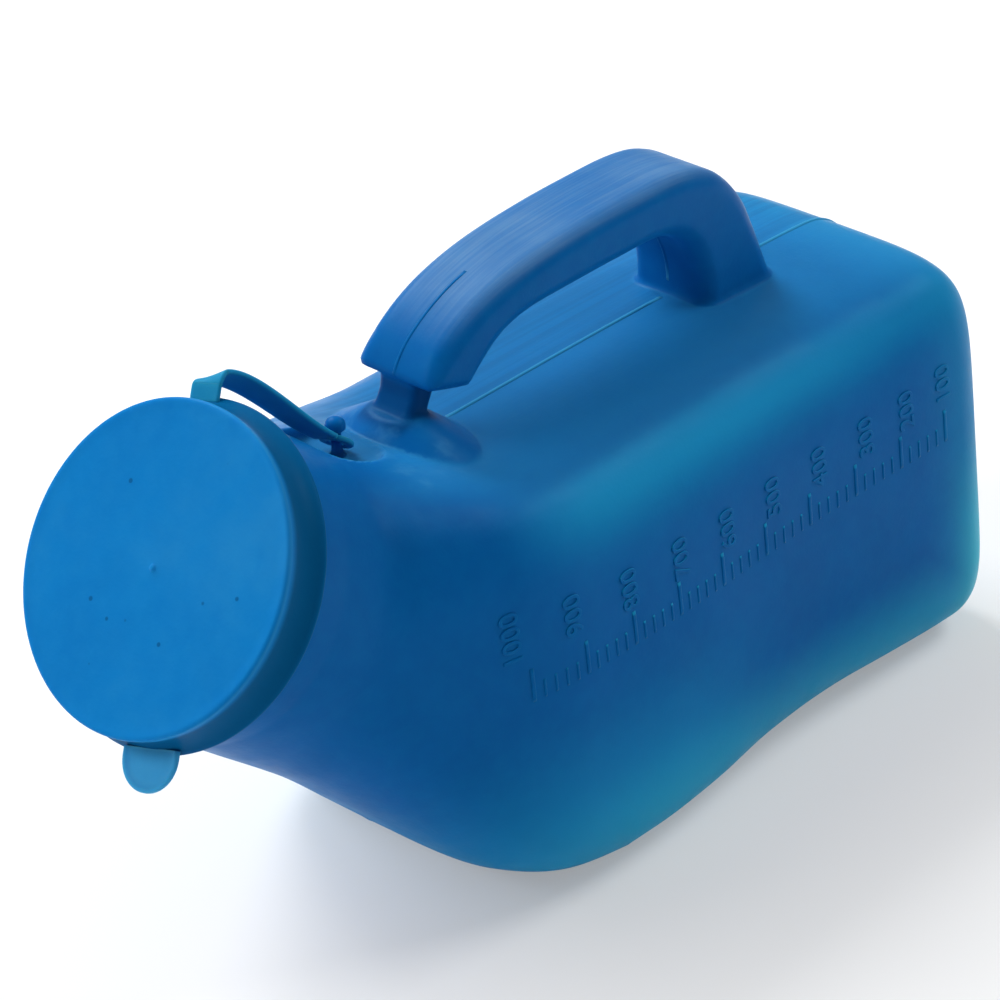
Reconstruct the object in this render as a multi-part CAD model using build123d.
from build123d import *
import math
import os

# Urine bottle lying on its belly: mouth towards -X, flat base end towards +X, handle up (+Z).
# Origin: centre of the bottle's own outline, on the surface it lies on. Millimetres.

# ---------------------------------------------------------------- bottle dimensions
BASE_X = 114.0                # flat base end
BASE_ROUND = 13.0             # rounding between sides and base end
WALL = 1.3                    # body wall
CROWN = 3.0                   # drop of the top panel at CROWN_HALF_W from its centre line
CROWN_HALF_W = 44.0
FAN_X, FAN_Z = -10.0, 181.6   # line along Y that the shoulder sections pivot about
NECK_TILT = 35.28             # neck axis above the horizontal, degrees
NECK_R = 31.5                 # outside radius of the neck
NECK_WALL = 1.7
LID_X, LID_Z = -94.7, 96.6    # centre of the lid's outer face
LIP_DEPTH = 1.5               # lip below the lid's outer face
FAN_DEPTH = 20.0              # depth below the lid's outer face where the neck becomes straight
CAVITY_OVERRUN = 4.0          # length of the cavity loft past the lip

# Body tables: (x, value). Half widths at the underside and top, heights, corner exponents.
HALF_W_LOW = [(FAN_X, 46.8), (0, 47.0), (15, 46.2), (35, 44.2), (55, 43.0), (75, 43.4),
              (95, 44.0), (BASE_X, 44.0)]
HALF_W_TOP = [(FAN_X, 40.0), (20, 39.5), (60, 38.8), (90, 38.8), (BASE_X, 39.2)]
BELLY_Z = [(FAN_X, 0.3), (5, 0.2), (20, 0.5), (40, 1.8), (60, 1.9), (80, 0.9),
           (100, 0.2), (BASE_X, 0.1)]
TOP_Z = [(FAN_X, 93.3), (20, 93.4), (55, 93.0), (70, 92.3), (85, 91.9), (98, 91.3),
         (107, 89.9), (BASE_X, 88.7)]
POWER_LOW = [(FAN_X, 6.5), (15, 6.2), (40, 6.0)]
POWER_TOP = [(FAN_X, 4.6), (60, 4.6), (100, 5.4), (BASE_X, 5.6)]
# (x, share of the crown kept towards the base end)
CROWN_SHARE = [(60, 1.0), (85, 0.7), (108, 0.08), (BASE_X, 0.0)]

# Shoulder tables: (fan angle in degrees, value). FAN_TOP and FAN_LOW are distances from the
# pivot line to the top and the underside.
FAN_TOP = [(0, 88.3), (10, 87.9), (20, 87.2), (28, 86.9), (NECK_TILT, 86.8)]
FAN_LOW = [(0, 181.4), (4, 180.6), (9.75, 176.0), (13.6, 169.4), (17.9, 162.2), (25.1, 154.2),
           (30.9, 151.3), (NECK_TILT, 149.8)]
FAN_HALF_W_LOW = [(0, 46.8), (5, 46.0), (10, 43.4), (14, 40.6), (18, 38.4), (24, 35.4),
                  (30, 32.7), (NECK_TILT, NECK_R)]
FAN_HALF_W_TOP = [(0, 40.0), (6, 40.2), (12, 39.6), (18, 37.6), (24, 34.8), (30, 32.2),
                  (NECK_TILT, NECK_R)]
FAN_POWER_LOW = [(0, 6.5), (8, 5.2), (16, 3.6), (24, 2.6), (30, 2.1), (NECK_TILT, 2.0)]
FAN_POWER_TOP = [(0, 4.6), (8, 4.4), (16, 3.6), (24, 2.7), (30, 2.1), (NECK_TILT, 2.0)]

# Loft stations
SECTION_POINTS = 36
BASE_ROUND_ANGLES = (90, 76, 60, 42, 22, 0)   # round the base edge, degrees
BODY_STATIONS = (96, 90, 82, 74, 66, 58, 48, 38, 26, 14, 2, FAN_X)
SHOULDER_ANGLES = (*range(4, 33, 4), NECK_TILT)
NECK_STEP = 6                 # from each end of the straight neck to the station next to it

RECESS_DEPTH = 2.0            # push-up in the base end
RECESS_W, RECESS_H = 50.0, 54.0
RECESS_Z = 46.0
RECESS_CORNER, RECESS_CORNER_IN = 18.0, 19.0   # corner radius outside and on the cavity side

# ---------------------------------------------------------------- handle dimensions
HANDLE_HALF_W = 10.9
HANDLE_WALL = 1.8
HANDLE_ROUND = 3.6
CORE_SIDE_EXTRA = 0.6         # extra wall thickness at the handle's sides
ROUND_ABOVE_Z = 92.0          # side edges centred above this height are rounded
# Side outlines of the grip: (x, z)
GRIP_OUT = [(-27.5, 108.2), (-27.4, 110.2), (-23.6, 114.9), (-16.6, 119.4), (-8.0, 122.7),
            (4.0, 125.1), (20.0, 126.3), (36.0, 126.5), (46.0, 126.2), (54.0, 124.7),
            (61.5, 120.6), (67.6, 113.6), (71.4, 105.5), (76.3, 92.5), (78.4, 86.0)]
GRIP_IN = [(53.0, 86.0), (53.8, 94.0), (53.2, 102.0), (49.5, 109.5), (42.0, 113.4),
           (28.0, 113.9), (14.0, 113.9), (2.0, 113.6), (-6.0, 111.8), (-12.0, 108.8),
           (-17.2, 105.4)]
STRUT_HALF_W = 5.0
STRUT = [(-27.5, 108.0), (-19.5, 106.6), (-22.0, 98.0), (-33.5, 98.0)]   # (x, z)
BOSS_X = -28.2
BOSS_RX, BOSS_RY = 15.2, 21.4
# Ellipses of the boss, foot first: (x radius, y radius, z, shift in x)
BOSS_RINGS = [(BOSS_RX, BOSS_RY, 91.2, 0), (BOSS_RX * 0.71, BOSS_RY * 0.66, 95.9, 0),
              (5.4, 6.4, 100.6, 0.6)]

# ---------------------------------------------------------------- peg and pocket dimensions
PEG_X = -44.6
PEG_FLOOR_Z = 98.6
PEG_R, PEG_HEAD_R = 1.1, 2.0
PEG_FOOT = 0.5                # chamfer at the foot
PEG_HEAD_Z0, PEG_HEAD_Z1 = 104.5, 107.2
POCKET_R = 10.5
POCKET_X = PEG_X - 1.0

# ---------------------------------------------------------------- lid, tab, strap dimensions
LID_T = 1.3
LID_EDGE_R = 33.3
LID_EDGE_ROUND = 0.9
LID_RIM_R = 34.9
LID_IN_R = 32.1
LID_DEPTH = 9.8
STRAP_ANGLE = 15.7            # strap root round the neck axis, from straight up towards +Y
HINGE_DEPTH = 7.6             # plane of the strap root and the pull tab
GAP = 0.1                     # between a hinge pin and the plate beside it

TAB_W, TAB_T, TAB_TIP_R, TAB_HINGE_R = 13.8, 1.2, 42.4, 35.75

STRAP_W, STRAP_T = 7.2, 1.1
STRAP_HINGE_R = 36.1          # strap hinge at the lid
BEND_R = 3.2
BEND_START = 0.3              # straight length before the bend
AIM_X, AIM_Z = -1.5, 3.0      # aim of the bend's end from the eyelet, in the hinge plane
EYE_Z = 101.8
EYE_TILT = 38.0               # eyelet below the horizontal, along the strap
EYE_R, EYE_HOLE_R = 3.7, 2.1
EYE_OVERLAP = 0.6             # how far the ribbon reaches inside the eyelet's edge
RIBBON_HANDLE = 7.0           # from each ribbon end to its curve control point
RIBBON_SECTIONS = 10

# ---------------------------------------------------------------- graduation dimensions
# x of each 100 ml level, on the -Y side
LEVEL_X = [95.7, 80.8, 65.8, 50.7, 35.8, 21.3, 7.3, -6.7, -20.8, -35.2]
MARK_H = 0.4
MARK_SINK = 0.2               # depth set into the wall
MARK_Z0 = 52.5                # lower end of every line
MAJOR_Z1, MINOR_Z1 = 60.0, 56.5   # upper end of the 100 ml and the 20 ml lines
MAJOR_W, MINOR_W = 0.9, 0.6
MINOR_PER_LEVEL = 5

# ---------------------------------------------------------------- neck and hinge frames
FROM_START = (Align.CENTER, Align.CENTER, Align.MIN)
tilt = math.radians(NECK_TILT)
root_angle = math.radians(STRAP_ANGLE)
NECK_OUT = Vector(-math.cos(tilt), 0, math.sin(tilt))
NECK_UP = Vector(math.sin(tilt), 0, math.cos(tilt))
ROOT_DIR = NECK_UP * math.cos(root_angle) + Vector(0, 1, 0) * math.sin(root_angle)
ROOT_WIDTH_DIR = NECK_OUT.cross(ROOT_DIR)


def neck_point(depth):
    """Point on the neck axis at a depth below the lid's outer face."""
    return Vector(LID_X, 0, LID_Z) - NECK_OUT * depth


# Local x = ROOT_DIR, y = ROOT_WIDTH_DIR, z = NECK_OUT
HINGE_PLANE = Plane(origin=neck_point(HINGE_DEPTH), x_dir=ROOT_DIR, z_dir=NECK_OUT)


def neck_cylinder(depth, radius, length):
    """Cylinder on the neck axis, running inwards from a depth."""
    return Plane(origin=neck_point(depth), z_dir=-NECK_OUT) * Cylinder(
        radius, length, align=FROM_START)


def largest(shape):
    """The largest solid of a boolean result."""
    return max(shape.solids(), key=lambda solid: solid.volume)


def slab(points, half_width, direction):
    """Polygon extruded to both sides."""
    face = make_face(Polyline(points, close=True))
    return extrude(face, amount=half_width, dir=direction, both=True)


# ---------------------------------------------------------------- bottle surface
def lookup(rows, x):
    """Piecewise cubic through the rows with zero overshoot (monotone Hermite)."""
    if x <= rows[0][0]:
        return rows[0][1]
    if x >= rows[-1][0]:
        return rows[-1][1]
    last = len(rows) - 1
    steps = [rows[i + 1][0] - rows[i][0] for i in range(last)]
    slopes = [(rows[i + 1][1] - rows[i][1]) / steps[i] for i in range(last)]
    tangents = [slopes[0]] + [0.0] * (last - 1) + [slopes[-1]]
    for i in range(1, last):
        if slopes[i - 1] * slopes[i] > 0:
            before = 2 * steps[i] + steps[i - 1]
            after = steps[i] + 2 * steps[i - 1]
            tangents[i] = (before + after) / (before / slopes[i - 1] + after / slopes[i])
    i = max(k for k in range(last) if rows[k][0] <= x)
    t = (x - rows[i][0]) / steps[i]
    return ((1 + 2 * t) * (1 - t) ** 2 * rows[i][1]
            + t * (1 - t) ** 2 * steps[i] * tangents[i]
            + t * t * (3 - 2 * t) * rows[i + 1][1]
            + t * t * (t - 1) * steps[i] * tangents[i + 1])


def signed_power(value, exponent):
    return math.copysign(abs(value) ** exponent, value)


def body_shape(x):
    """Half widths, low and high limits, corner exponents of the section at x."""
    return [lookup(rows, x) for rows in
            (HALF_W_LOW, HALF_W_TOP, BELLY_Z, TOP_Z, POWER_LOW, POWER_TOP)]


def shoulder_shape(angle):
    """The same values at a fan angle, with limits measured up from the pivot line."""
    return (lookup(FAN_HALF_W_LOW, angle), lookup(FAN_HALF_W_TOP, angle),
            -lookup(FAN_LOW, angle), -lookup(FAN_TOP, angle),
            lookup(FAN_POWER_LOW, angle), lookup(FAN_POWER_TOP, angle))


def section(station, offset):
    """One closed cross-section, drawn inwards by offset.

    The station is x on the body. Below FAN_X it is FAN_X minus the fan angle in degrees,
    and past the last angle also minus the length along the neck.
    """
    if station >= FAN_X:
        width_low, width_top, low, high, power_low, power_top = body_shape(station)
        radius = BASE_ROUND - offset
        into_round = station - (BASE_X - offset - radius)
        inset = offset
        if into_round > 0:
            inset += radius - math.sqrt(max(radius * radius - into_round * into_round, 0.0))
        crown_share = lookup(CROWN_SHARE, station)
        origin_x, origin_z, up_x, up_z = station, 0.0, 0.0, 1.0
    else:
        travel = FAN_X - station
        degrees = min(travel, NECK_TILT)
        width_low, width_top, low, high, power_low, power_top = shoulder_shape(degrees)
        inset = offset
        crown_share = 1 - degrees / NECK_TILT
        angle = math.radians(degrees)
        up_x, up_z = math.sin(angle), math.cos(angle)
        origin_x = FAN_X - (travel - degrees) * up_z
        origin_z = FAN_Z + (travel - degrees) * up_x
    width_low, width_top = width_low - inset, width_top - inset
    low, high = low + inset, high - inset
    points = []
    for k in range(SECTION_POINTS):
        theta = 2 * math.pi * (k + 0.5) / SECTION_POINTS
        across, up = math.cos(theta), math.sin(theta)
        power = power_top if up >= 0 else power_low
        height = (low + high) / 2 + (high - low) / 2 * signed_power(up, 2 / power)
        share = (height - low) / (high - low)
        y = (width_low + (width_top - width_low) * share) * signed_power(across, 2 / power)
        upper = min(max((share - 0.5) * 2, 0), 1)   # the crown only bends the upper half
        height -= CROWN * crown_share * (abs(y) / CROWN_HALF_W) ** 1.5 * upper ** 2
        points.append(Vector(origin_x + up_x * height, y, origin_z + up_z * height))
    return Wire([Edge.make_spline(points, periodic=True)])


def bottle_loft(offset, overrun):
    """Whole bottle from base to lip, inwards by offset and overrun longer at the mouth."""
    radius = BASE_ROUND - offset
    stations = [BASE_X - offset - radius + radius * math.sin(math.radians(angle))
                for angle in BASE_ROUND_ANGLES]
    stations += BODY_STATIONS
    stations += [FAN_X - angle for angle in SHOULDER_ANGLES]
    neck_end = NECK_TILT + FAN_DEPTH - LIP_DEPTH + overrun
    stations += [FAN_X - NECK_TILT - NECK_STEP, FAN_X - neck_end + NECK_STEP, FAN_X - neck_end]
    return Solid.make_loft([section(station, offset) for station in stations], False)


def pocket(grow):
    """Scoop in the shoulder in front of the boss, floor level with the foot of the peg."""
    return Pos(POCKET_X, 0, PEG_FLOOR_Z - grow) * Cylinder(
        POCKET_R + grow, 30, align=FROM_START)


def recess(grow, corner):
    outline = RectangleRounded(RECESS_H + 2 * grow, RECESS_W + 2 * grow, corner)
    place = Pos(BASE_X - RECESS_DEPTH - grow, 0, RECESS_Z) * Rot(0, 90, 0)
    return place * extrude(outline, amount=10)


def make_shell(body, core):
    """Body hollowed out, bored at the neck and opened into the hollow handle."""
    inside = largest(bottle_loft(WALL, CAVITY_OVERRUN) - pocket(WALL))
    cavity = largest(inside - recess(WALL, RECESS_CORNER_IN))
    above, below = 3.0, 2.0   # bore length beyond the lid face and the straight neck
    bore = neck_cylinder(-above, NECK_R - NECK_WALL, above + FAN_DEPTH + below)
    shell = largest(largest(body - cavity) - bore)
    return largest(shell - core)


# ---------------------------------------------------------------- handle
def handle_bar(outside, inside, half_width):
    """Bar between an outer and an inner side outline, both in the XZ plane."""
    outside, inside = ([Vector(x, 0, z) for x, z in outline] for outline in (outside, inside))
    face = make_face(Wire([Edge.make_spline(outside), Edge.make_line(outside[-1], inside[0]),
                           Edge.make_spline(inside), Edge.make_line(inside[-1], outside[0])]))
    return extrude(face, amount=half_width, dir=(0, 1, 0), both=True)


def inset_outline(points, distance):
    """Move an open outline along its normals, into the bar."""
    moved = []
    for i, (x, z) in enumerate(points):
        before, after = points[max(i - 1, 0)], points[min(i + 1, len(points) - 1)]
        run, rise = after[0] - before[0], after[1] - before[1]
        length = math.hypot(run, rise)
        moved.append((x + rise / length * distance, z - run / length * distance))
    return moved


def make_grip():
    grip = handle_bar(GRIP_OUT, GRIP_IN, HANDLE_HALF_W)
    side_edges = [edge for edge in grip.edges()
                  if abs(abs(edge.center().Y) - HANDLE_HALF_W) < 0.01
                  and edge.center().Z > ROUND_ABOVE_Z]
    # Guards the rounding of the spline edges: if it fails, the grip keeps sharp edges.
    try:
        return largest(fillet(side_edges, HANDLE_ROUND))
    except Exception:
        return largest(grip)


def make_core():
    """Hollow of the handle."""
    return handle_bar(inset_outline(GRIP_OUT[2:], HANDLE_WALL),
                      inset_outline(GRIP_IN[:-1], HANDLE_WALL),
                      HANDLE_HALF_W - HANDLE_WALL - CORE_SIDE_EXTRA)


def make_boss(grip, outer):
    """Boss on the shoulder with the strut up to the grip's mouth end."""
    strut = slab([(x, 0, z) for x, z in STRUT], STRUT_HALF_W, (0, 1, 0))
    rings = []
    for x_radius, y_radius, z, shift in BOSS_RINGS:
        ellipse = Edge.make_ellipse(x_radius, y_radius, plane=Plane.XY.offset(z))
        rings.append(Wire([ellipse.moved(Location((BOSS_X + shift, 0, 0)))]))
    boss = largest(Solid.make_loft(rings, False) + strut)
    for cutter in (pocket(0.0), grip, outer):
        boss = largest(boss - cutter)
    return boss


def make_peg():
    profile = make_face(Polyline([
        (0, PEG_FLOOR_Z), (PEG_R + PEG_FOOT, PEG_FLOOR_Z),
        (PEG_R, PEG_FLOOR_Z + PEG_FOOT), (PEG_R, PEG_HEAD_Z0),
        (PEG_HEAD_R, PEG_HEAD_Z0), (PEG_HEAD_R, PEG_HEAD_Z0 + 0.8),
        (PEG_HEAD_R * 0.86, PEG_HEAD_Z1 - 1.1), (PEG_HEAD_R * 0.5, PEG_HEAD_Z1 - 0.25),
        (0, PEG_HEAD_Z1)], close=True))
    return largest(Pos(PEG_X, 0, 0) * revolve(Plane.XZ * profile, Axis.Z))


# ---------------------------------------------------------------- graduation lines
def side_y(x, z):
    """Half width of the bottle's side at (x, z)."""
    if x >= FAN_X:
        shape, height = body_shape(x), z
    else:
        shape = shoulder_shape(math.degrees(math.atan2(FAN_X - x, FAN_Z - z)))
        height = -math.hypot(FAN_X - x, FAN_Z - z)
    width_low, width_top, low, high, power_low, power_top = shape
    middle = (low + high) / 2
    power = power_top if height > middle else power_low
    ratio = abs(height - middle) / ((high - low) / 2)
    width = width_low + (width_top - width_low) * (height - low) / (high - low)
    return width * (1 - ratio ** power) ** (1 / power)


def level_line(x, width, top_z, steps):
    """A raised line across the side, following its surface and sunk into the wall."""
    heights = [MARK_Z0 + (top_z - MARK_Z0) * i / steps for i in range(steps + 1)]
    raised = [(x, -side_y(x, z) - MARK_H, z) for z in heights]
    sunk = [(x, -side_y(x, z) + MARK_SINK, z) for z in reversed(heights)]
    return slab(raised + sunk, width / 2, (1, 0, 0)).solids()


def make_graduation():
    lines = []
    for i, x in enumerate(LEVEL_X):
        lines += level_line(x, MAJOR_W, MAJOR_Z1, 4)
        if i:
            previous = LEVEL_X[i - 1]
            for k in range(1, MINOR_PER_LEVEL):
                minor_x = previous + (x - previous) * k / MINOR_PER_LEVEL
                lines += level_line(minor_x, MINOR_W, MINOR_Z1, 2)
    return Compound(children=lines)


# ---------------------------------------------------------------- lid and pull tab
def hinge_plate(x0, x1, width, thickness):
    return HINGE_PLANE * (Pos((x0 + x1) / 2, 0, 0) * Box(x1 - x0, width, thickness))


def hinge_pin(x, z, width, thickness):
    return HINGE_PLANE * (Pos(x, 0, z) * Rot(90, 0, 0) * Cylinder(thickness / 2, width))


def make_lid():
    """Cap with a flared rim, the strap's root stub and the pull tab's land."""
    edge_start = (LID_EDGE_R - LID_EDGE_ROUND, 0)
    edge_end = (LID_EDGE_R, LID_EDGE_ROUND)
    rim_start = (LID_RIM_R - 0.3, LID_DEPTH - 1.3)
    rim_end = (LID_RIM_R - 0.5, LID_DEPTH)
    # Half profile: (radius, depth below the outer face)
    profile = make_face(Wire([
        Edge.make_line((0, 0), edge_start),
        Edge.make_three_point_arc(edge_start, (LID_EDGE_R - 0.26, 0.26), edge_end),
        Edge.make_spline([edge_end, (LID_EDGE_R - 0.3, 3.8), (LID_EDGE_R + 0.15, 6.6),
                          rim_start]),
        Edge.make_three_point_arc(rim_start, (LID_RIM_R, LID_DEPTH - 0.6), rim_end),
        Edge.make_line(rim_end, (LID_IN_R, LID_DEPTH)),
        Edge.make_line((LID_IN_R, LID_DEPTH), (LID_IN_R, LID_T)),
        Edge.make_line((LID_IN_R, LID_T), (0, LID_T)),
        Edge.make_line((0, LID_T), (0, 0))]))
    lid_plane = Plane(origin=neck_point(0), x_dir=ROOT_DIR, z_dir=-NECK_OUT)
    cap = lid_plane * revolve(Plane.XZ * profile, Axis.Z)
    root_stub = hinge_plate(LID_RIM_R - 1.0, STRAP_HINGE_R - STRAP_T / 2 - GAP,
                            STRAP_W, STRAP_T)
    tab_land = hinge_plate(-(TAB_HINGE_R - TAB_T / 2 - GAP), -(LID_RIM_R - 1.4), TAB_W, TAB_T)
    lid = largest(cap + root_stub + tab_land)
    return largest(lid - neck_cylinder(LID_T, LID_IN_R, 12))


def make_pull_tab():
    radius = TAB_W / 2
    disc = Pos(-(TAB_TIP_R - radius), 0, 0) * Cylinder(radius, TAB_T)
    zone = Pos(-(TAB_HINGE_R + radius), 0, 0) * Box(TAB_W, TAB_W, TAB_T)
    tab = HINGE_PLANE * (disc & zone)
    return largest(tab + hinge_pin(-TAB_HINGE_R, 0, TAB_W, TAB_T))


# ---------------------------------------------------------------- strap
def bend_point(degrees, radius=BEND_R):
    """Point round the bend's centre: (local x, local z) of the hinge plane."""
    angle = math.radians(degrees)
    return (STRAP_HINGE_R + BEND_START + radius * math.cos(angle),
            -BEND_R + radius * math.sin(angle))


def find_bend_end(eye):
    """Angle at which the strap leaves the bend aiming at the eyelet, found by iteration."""
    target = HINGE_PLANE.to_local_coords(eye)
    degrees = -10.0
    for _ in range(40):
        x, z = bend_point(degrees)
        degrees = 90 + math.degrees(math.atan2(target.Z + AIM_Z - z, target.X + AIM_X - x))
    return degrees


def make_strap_bend(end_angle):
    """Ring sector with a short straight start and a hinge pin at each end."""
    outer_r, inner_r = BEND_R + STRAP_T / 2, BEND_R - STRAP_T / 2
    angles = (90, (90 + end_angle) / 2, end_angle)
    outer_arc = [bend_point(angle, outer_r) for angle in angles]
    inner_arc = [bend_point(angle, inner_r) for angle in reversed(angles)]
    face = make_face(Wire([Edge.make_three_point_arc(*outer_arc),
                           Edge.make_line(outer_arc[-1], inner_arc[0]),
                           Edge.make_three_point_arc(*inner_arc),
                           Edge.make_line(inner_arc[-1], outer_arc[0])]))
    straight = Pos(STRAP_HINGE_R + BEND_START / 2, 0, 0) * Box(BEND_START, STRAP_W, STRAP_T)
    link = straight + extrude(Plane.XZ * face, amount=STRAP_W / 2, both=True)
    return largest(HINGE_PLANE * link + hinge_pin(STRAP_HINGE_R, 0, STRAP_W, STRAP_T)
                   + hinge_pin(*bend_point(end_angle), STRAP_W, STRAP_T))


def strap_section(centre, width_dir, normal_dir):
    across = width_dir.normalized() * (STRAP_W / 2)
    up = normal_dir.normalized() * (STRAP_T / 2)
    corners = [centre + across + up, centre - across + up,
               centre - across - up, centre + across - up]
    return Wire(Polyline(corners, close=True).edges())


def make_ribbon(end_angle, eye, eye_dir, eye_width_dir):
    """Flat strap along a cubic Bezier curve from the bend to the eyelet."""
    x, z = bend_point(end_angle)
    leave = math.radians(end_angle - 90)
    leave_dir = ROOT_DIR * math.cos(leave) + NECK_OUT * math.sin(leave)
    start = HINGE_PLANE.from_local_coords(Vector(x, 0, z)) + leave_dir * (STRAP_T / 2 + GAP)
    end = eye + eye_dir * (EYE_R - EYE_OVERLAP)
    start_control = start + leave_dir * RIBBON_HANDLE
    end_control = end + eye_dir * RIBBON_HANDLE

    def curve(t):
        return (start * (1 - t) ** 3 + start_control * (3 * t * (1 - t) ** 2)
                + end_control * (3 * t * t * (1 - t)) + end * t ** 3)

    sections = []
    for k in range(RIBBON_SECTIONS):
        t = k / (RIBBON_SECTIONS - 1)
        along = (curve(min(t + 0.01, 1)) - curve(max(t - 0.01, 0))).normalized()
        width_dir = ROOT_WIDTH_DIR * (1 - t) + eye_width_dir * t
        width_dir = (width_dir - along * width_dir.dot(along)).normalized()
        sections.append(strap_section(curve(t), width_dir, along.cross(width_dir)))
    return largest(Solid.make_loft(sections, True))


def make_eyelet(eye, eye_dir, eye_width_dir, ribbon):
    plane = Plane(origin=eye, x_dir=eye_dir, z_dir=eye_width_dir.cross(eye_dir))
    ring = plane * (Cylinder(EYE_R, STRAP_T) - Cylinder(EYE_HOLE_R, STRAP_T + 1))
    return largest(ring - ribbon)


# ---------------------------------------------------------------- build and export
outer = largest(bottle_loft(0.0, 0.0) - pocket(0.0))
body = largest(outer - recess(0.0, RECESS_CORNER))
grip = make_grip()
core = make_core()

eye = Vector(PEG_X, 0, EYE_Z)
eye_tilt = math.radians(EYE_TILT)
# From the eyelet back along the strap: plan direction, then tilted up
eye_dir = (Vector(-1, 0.30, 0).normalized() * math.cos(eye_tilt)
           + Vector(0, 0, math.sin(eye_tilt)))
eye_width_dir = (ROOT_WIDTH_DIR - eye_dir * ROOT_WIDTH_DIR.dot(eye_dir)).normalized()
bend_end = find_bend_end(eye)
ribbon = make_ribbon(bend_end, eye, eye_dir, eye_width_dir)

pieces = {
    "handle_grip": largest(largest(grip - core) - body),
    "handle_boss": make_boss(grip, outer),
    "bottle_shell": make_shell(body, core),
    "strap_peg": make_peg(),
    "graduation_lines": make_graduation(),
    "lid": make_lid(),
    "pull_tab": make_pull_tab(),
    "strap_bend": make_strap_bend(bend_end),
    "strap_ribbon": ribbon,
    "strap_eyelet": make_eyelet(eye, eye_dir, eye_width_dir, ribbon),
}

os.makedirs("parts", exist_ok=True)
for name, piece in pieces.items():
    piece.label = name
    export_step(piece, f"parts/{name}.step")
